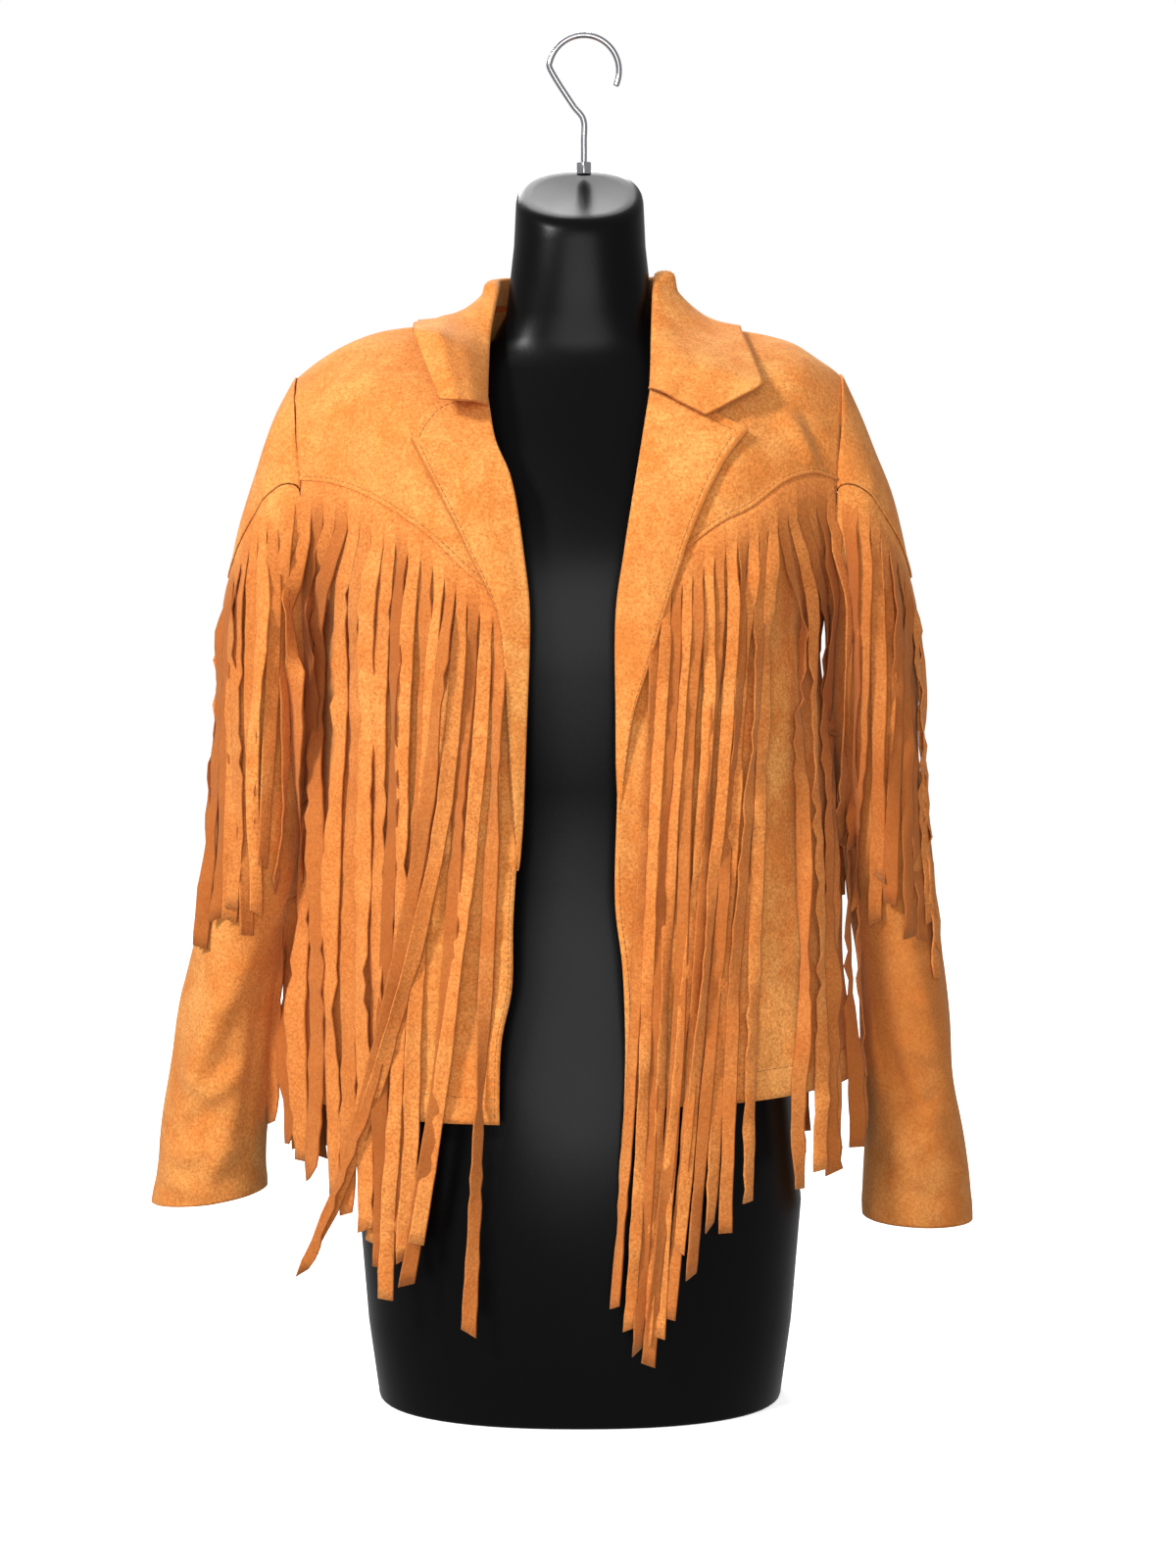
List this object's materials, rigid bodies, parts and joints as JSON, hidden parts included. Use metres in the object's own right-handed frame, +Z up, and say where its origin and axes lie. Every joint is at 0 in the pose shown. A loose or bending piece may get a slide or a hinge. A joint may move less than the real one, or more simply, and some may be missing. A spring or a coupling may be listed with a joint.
{
  "type": "suede fringe jacket on a limbless torso form",
  "caption": "Cropped open suede jacket with notched lapels, curved yoke seams and long hanging fringe, worn on a smooth limbless torso form with a wire hook.",
  "frame": {"origin": "centre of the flat foot of the torso form, on the surface that it stands on", "axes": "+Z up through the neck and the hook, -Y out of the open front of the jacket, +X towards the sleeve named right, which is on the right when the front is looked at"},
  "size_m": [0.617, 0.2458, 1.0089],
  "materials": {
    "suede": "tan orange microsuede with a mottled soft nap",
    "suede_fringe": "tan orange microsuede cut in strips, raw edges",
    "form_plastic": "satin black moulded plastic",
    "hook_metal": "bright plated steel wire"
  },
  "bodies": {
    "root": {"front_left": "suede", "front_right": "suede", "yoke_left": "suede", "yoke_right": "suede", "back": "suede", "back_yoke": "suede", "sleeve_cap_left": "suede", "sleeve_left": "suede", "sleeve_cap_right": "suede", "sleeve_right": "suede", "lapel_left": "suede", "lapel_right": "suede", "collar": "suede", "fringe_front_left": "suede_fringe", "fringe_front_right": "suede_fringe", "fringe_back": "suede_fringe", "fringe_sleeve_left": "suede_fringe", "fringe_sleeve_right": "suede_fringe", "form": "form_plastic", "hook_nut": "hook_metal", "hook": "hook_metal"}
  },
  "joints": []
}
